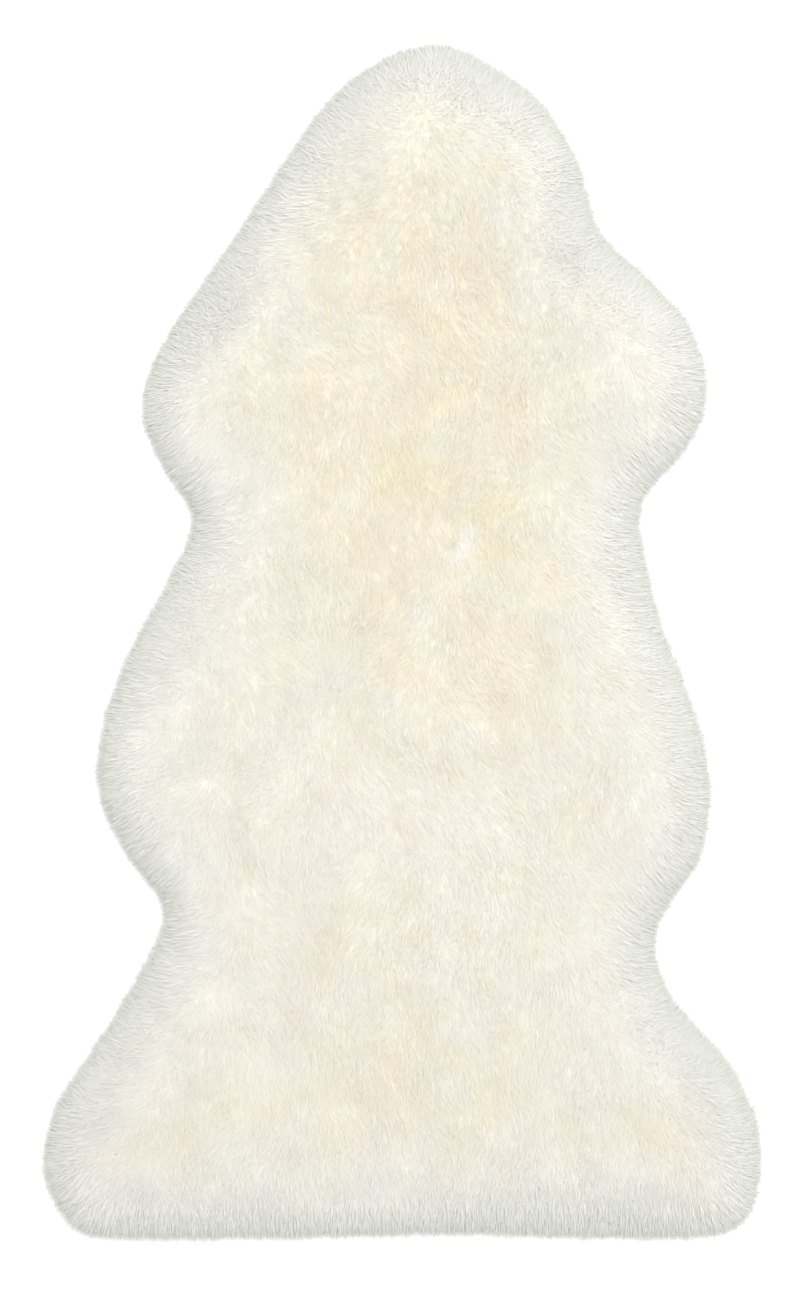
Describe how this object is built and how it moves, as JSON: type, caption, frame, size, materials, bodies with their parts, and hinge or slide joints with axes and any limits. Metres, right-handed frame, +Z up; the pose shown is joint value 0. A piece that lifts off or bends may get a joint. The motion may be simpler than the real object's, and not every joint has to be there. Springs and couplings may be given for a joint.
{
  "type": "sheepskin rug",
  "caption": "Whole sheepskin rug with deep plush ivory wool, in the outline of the hide: narrow neck, foreleg and hind leg lobes, drawn-in waists and a straight tail edge.",
  "frame": {"origin": "middle of the rug's length and width, on the flat underside that lies on the floor", "axes": "+Y along the rug from the tail to the neck, +Z up out of the wool, +X to the right as seen from above"},
  "size_m": [0.602, 1, 0.053],
  "materials": {
    "wool": "deep plush pile, matt with a soft sheen",
    "suede": "tanned suede underside, matt"
  },
  "bodies": {
    "root": {"sheepskin": "wool"}
  },
  "joints": []
}
